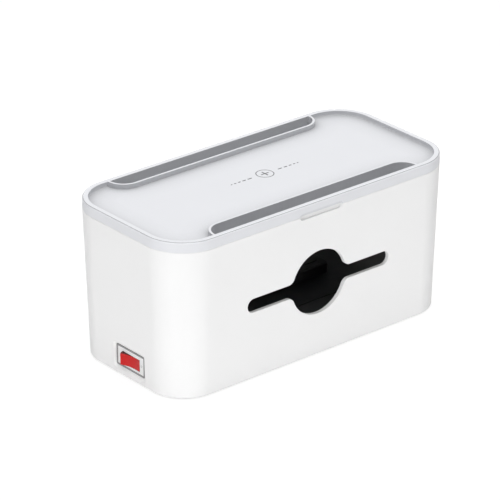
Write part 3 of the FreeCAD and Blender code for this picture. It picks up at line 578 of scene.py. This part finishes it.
def finish_rim(tree, shader):
    # Painted light makes the rim's top a little lighter, and a thin painted shadow line runs just inside
    # its outer edge
    low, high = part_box("lid")
    quarter = vector_node(tree, "ABSOLUTE", part_place(tree)).outputs["Vector"]
    heart = (high.x - rim_corner, high.y - rim_corner, 0)
    away = vector_node(tree, "SUBTRACT", quarter, heart).outputs["Vector"]
    away = vector_node(tree, "MAXIMUM", away, (0, 0, 0)).outputs["Vector"]
    away = vector_node(tree, "MULTIPLY", away, (1, 1, 0)).outputs["Vector"]
    inset = number_node(tree, "SUBTRACT", rim_corner, vector_node(tree, "LENGTH", away).outputs["Value"])
    up = tree.nodes.new("ShaderNodeSeparateXYZ")
    tree.links.new(part_place(tree), up.inputs["Vector"])
    on_top = number_node(tree, "GREATER_THAN", up.outputs["Z"], high.z - rim_skin)
    line = number_node(tree, "COMPARE", inset, shadow_line_inset, shadow_line_half_width)
    line = number_node(tree, "MULTIPLY", line, on_top)
    rim = number_node(tree, "LESS_THAN", inset, rim_width)
    rim = number_node(tree, "MULTIPLY", rim, on_top)
    tone = number_node(tree, "MULTIPLY_ADD", rim, rim_light_tone - 1, 1.0)
    dark = number_node(tree, "MULTIPLY_ADD", line, shadow_line_tone - 1, 1.0)
    tone = number_node(tree, "MULTIPLY", tone, dark)
    toned = vector_node(tree, "SCALE", shader.inputs["Base Color"].links[0].from_socket)
    tree.links.new(tone, toned.inputs["Scale"])
    tree.links.new(toned.outputs["Vector"], shader.inputs["Base Color"])


lid_tree = lid_finish.node_tree
finish_rim(lid_tree, lid_tree.nodes["Principled BSDF"])
dress("lid", lid_finish, 0.0003)

# Charging mark
# A plain centring ring and cross with a row of dashes each side, printed in grey where a phone is laid.
# It lies over the coil, and its row runs along the tray.

print_grey = (0.1, 0.103, 0.107)
tray_floor = 0.127
print_sink = 0.00002
print_lift = 0.00005
mark_centre = Vector((0.0054, 0.0049, tray_floor - print_sink))
ring_radius = 0.0073
ring_stroke = 0.0007
cross_reach = 0.0037
cross_stroke = 0.0011
dash_height = 0.0012
dash_start = 0.0131
dash_lengths = (0.0042, 0.0034, 0.0027, 0.0021, 0.0015)
dash_gap = 0.0017
cap_steps = 8
circle_steps = 72
tray_print = bmesh.new()
upward = Vector((0, 0, print_lift))


def on_tray(x, y):
    return mark_centre + Vector((x, y, 0))


def rounded_dash(x_low, x_high, y, height):
    half = height / 2
    points = []
    for start, x in ((-math.pi / 2, x_high - half), (math.pi / 2, x_low + half)):
        for step in range(cap_steps + 1):
            turn = start + math.pi * step / cap_steps
            points.append(on_tray(x + half * math.cos(turn), y + half * math.sin(turn)))
    return points


def circle_on_tray(radius):
    turns = [math.tau * step / circle_steps for step in range(circle_steps)]
    return [on_tray(radius * math.cos(turn), radius * math.sin(turn)) for turn in turns]


raise_outline(tray_print, circle_on_tray(ring_radius), circle_on_tray(ring_radius - ring_stroke), upward)
half_arm = cross_stroke / 2
cross = [
    (half_arm, half_arm), (half_arm, cross_reach), (-half_arm, cross_reach),
    (-half_arm, half_arm), (-cross_reach, half_arm), (-cross_reach, -half_arm),
    (-half_arm, -half_arm), (-half_arm, -cross_reach), (half_arm, -cross_reach),
    (half_arm, -half_arm), (cross_reach, -half_arm), (cross_reach, half_arm),
]
raise_outline(tray_print, [on_tray(x, y) for x, y in cross], None, upward)
for side in (-1, 1):
    near = dash_start
    for length in dash_lengths:
        low, high = sorted((side * near, side * (near + length)))
        raise_outline(tray_print, rounded_dash(low, high, 0, dash_height), None, upward)
        near += length + dash_gap
print_finish = ink("print_finish", print_grey)
new_piece("charging_mark", finished_mesh("charging_mark", tray_print), print_finish, "lid")

# Charger under the tray
# A white cover holds a copper winding, its ferrite disc and a small board against the tray's underside.
# Four screws hold the cover to bosses in the lid.

copper = (0.72, 0.33, 0.16)
ferrite = (0.055, 0.055, 0.06)
cover_white = (0.76, 0.76, 0.75)
core_radius = 0.01
wire_share = 0.46
winding_pitch = 0.0013
winding_sides = 8
winding_steps = 56


def flat_winding(low, high):
    # One wire wound from the inside out, with its ends on the inner and outer turn
    form = bmesh.new()
    thickness = high.z - low.z
    wire = thickness * wire_share
    centre = (low + high) / 2
    inner, outer = core_radius + wire, (high.x - low.x) / 2 - wire
    turns = (outer - inner) / winding_pitch
    total = int(turns * winding_steps)
    rows = []
    for step in range(total + 1):
        turn = math.tau * step / winding_steps
        radius = inner + (outer - inner) * step / total
        across = Vector((math.cos(turn), math.sin(turn), 0))
        point = centre + across * radius
        row = []
        for side in range(winding_sides):
            lean = math.tau * side / winding_sides
            rise = Vector((0, 0, wire * math.sin(lean)))
            row.append(form.verts.new(point + across * wire * math.cos(lean) + rise))
        rows.append(row)
    for first, second in zip(rows, rows[1:]):
        for side in range(winding_sides):
            after = (side + 1) % winding_sides
            form.faces.new((first[side], first[after], second[after], second[side]))
    form.faces.new(rows[0])
    form.faces.new(rows[-1][::-1])
    return finished_mesh("coil_winding", form, smooth=True)


coil_finish = drawn_metal("coil_finish", copper, 0.25, 0.4, 0.0003, 2)
coil_mesh = flat_winding(*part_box("charging_coil"))
winding = new_piece("coil_winding", coil_mesh, coil_finish, "lid")
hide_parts("charging_coil")
dress("charging_coil", coil_finish)
ferrite_finish = moulded_plastic("ferrite_finish", ferrite, (0.5, 0.62), 0.0009, 0.00003, drift=0.75)
cover_finish = moulded_plastic("cover_finish", cover_white, (0.45, 0.53), 0.0004, 0.000008)
dress("ferrite_disc", ferrite_finish, 0.0001)
dress("charger_board", board_finish, 0.0001)
dress("charger_port", port_finish, 0.0001)
dress("charger_cover", cover_finish, 0.0003)
dress("cover_screws", screw_finish, 0.00012)

# Floor
# A wide sheet of white paper that the box stands on.
# The camera sees it nearly burnt out, and the object's shadow stays on it.

paper_white = 0.86
paper_reach = 6.0
paper_glow = 0.8
paper_cloud = 0.4
seen_grey = 0.26


def paper_finish():
    finish, tree, shader = new_finish("paper_finish")
    shader.inputs["Roughness"].default_value = 0.9
    shader.inputs["Specular IOR Level"].default_value = 0.0
    drift = spread(tree, cloudy(tree, paper_cloud), 0, 1)
    two_tones(tree, shader, drift, [paper_white] * 3, [paper_white * 0.99] * 3)
    soft = tree.nodes.new("ShaderNodeBsdfDiffuse")
    soft.inputs["Color"].default_value = (seen_grey, seen_grey, seen_grey, 1)
    glow = tree.nodes.new("ShaderNodeEmission")
    glow.inputs["Strength"].default_value = paper_glow
    seen = tree.nodes.new("ShaderNodeAddShader")
    tree.links.new(soft.outputs["BSDF"], seen.inputs[0])
    tree.links.new(glow.outputs["Emission"], seen.inputs[1])
    ray = tree.nodes.new("ShaderNodeLightPath")
    choice = tree.nodes.new("ShaderNodeMixShader")
    tree.links.new(ray.outputs["Is Camera Ray"], choice.inputs["Fac"])
    tree.links.new(shader.outputs["BSDF"], choice.inputs[1])
    tree.links.new(seen.outputs["Shader"], choice.inputs[2])
    tree.links.new(choice.outputs["Shader"], tree.nodes["Material Output"].inputs["Surface"])
    return finish


sheet = bmesh.new()
bmesh.ops.create_circle(sheet, cap_ends=True, segments=64, radius=paper_reach)
paper = bpy.data.objects.new("paper_floor", finished_mesh("paper_floor", sheet))
bpy.context.scene.collection.objects.link(paper)
paper.data.materials.append(paper_finish())

# Light
# A large panel hangs over the box, and five long low panels stand round it near the desk.
# The room behind them is an even grey, and white where the camera or a glossy surface sees it.

room_strength = 0.23
white_light = (1.0, 1.0, 1.0)
low_distance = 3.0
low_height = 0.06
low_size = (0.9, 0.12)
top_height = 1.5
top_size = (1.8, 1.4)


def panel(name, place, aim, size, watts):
    lamp = bpy.data.lights.new(name, "AREA")
    lamp.shape = "RECTANGLE"
    lamp.size, lamp.size_y = size
    lamp.energy = watts
    lamp.color = white_light
    holder = bpy.data.objects.new(name, lamp)
    holder.location = place
    holder.rotation_mode = "QUATERNION"
    holder.rotation_quaternion = (Vector(aim) - Vector(place)).to_track_quat("-Z", "Y")
    bpy.context.scene.collection.objects.link(holder)


def low_panel(name, turn, watts):
    # The turn goes from the middle of the front wall towards the end with the switch
    turn = math.radians(turn)
    place = (-low_distance * math.sin(turn), -low_distance * math.cos(turn), low_height)
    panel(name, place, (0, 0, low_height), low_size, watts)


panel("top_panel", (0, 0, top_height), (0, 0, 0), top_size, 24.2)
low_panel("low_left_panel", 63, 31.8)
low_panel("low_front_panel", 15, 18.0)
low_panel("low_right_panel", -45, 6.0)
low_panel("low_end_panel", -135, 14.0)
low_panel("low_back_panel", -155, 16.0)

room = bpy.data.worlds.new("pale_room")
bpy.context.scene.world = room
room.use_nodes = True
sky = room.node_tree
lit = sky.nodes["Background"]
lit.inputs["Color"].default_value = (1, 1, 1, 1)
lit.inputs["Strength"].default_value = room_strength
white = sky.nodes.new("ShaderNodeBackground")
white.inputs["Color"].default_value = (1, 1, 1, 1)
white.inputs["Strength"].default_value = 1.0
ray = sky.nodes.new("ShaderNodeLightPath")
seen = number_node(sky, "MAXIMUM", ray.outputs["Is Camera Ray"], ray.outputs["Is Glossy Ray"])
seen = number_node(sky, "MAXIMUM", seen, ray.outputs["Is Transmission Ray"])
blend = sky.nodes.new("ShaderNodeMixShader")
sky.links.new(seen, blend.inputs["Fac"])
sky.links.new(lit.outputs["Background"], blend.inputs[1])
sky.links.new(white.outputs["Background"], blend.inputs[2])
sky.links.new(blend.outputs["Shader"], sky.nodes["World Output"].inputs["Surface"])
bpy.context.scene.view_settings.view_transform = "Standard"

# Camera
# It stands to the left of the front and looks down on the lid from far off, through a long lens.

swing = math.radians(-39.92)
height = math.radians(24.98)
standoff = 2.572229
lens_millimetres = 239.892
back = Vector((math.sin(swing) * math.cos(height), -math.cos(swing) * math.cos(height), math.sin(height)))
right = Vector((math.cos(swing), math.sin(swing), 0))
up = back.cross(right)
aim_height = 0.0658
aim_right = -0.010393
aim_up = -0.000028
target = Vector((0, 0, aim_height)) + right * aim_right + up * aim_up
view = bpy.data.cameras.new("camera")
view.sensor_width = 36.0
view.lens = lens_millimetres
camera = bpy.data.objects.new("camera", view)
facing = Matrix((right, up, back)).transposed().to_4x4()
camera.matrix_world = Matrix.Translation(target + back * standoff) @ facing
bpy.context.scene.collection.objects.link(camera)
bpy.context.scene.camera = camera
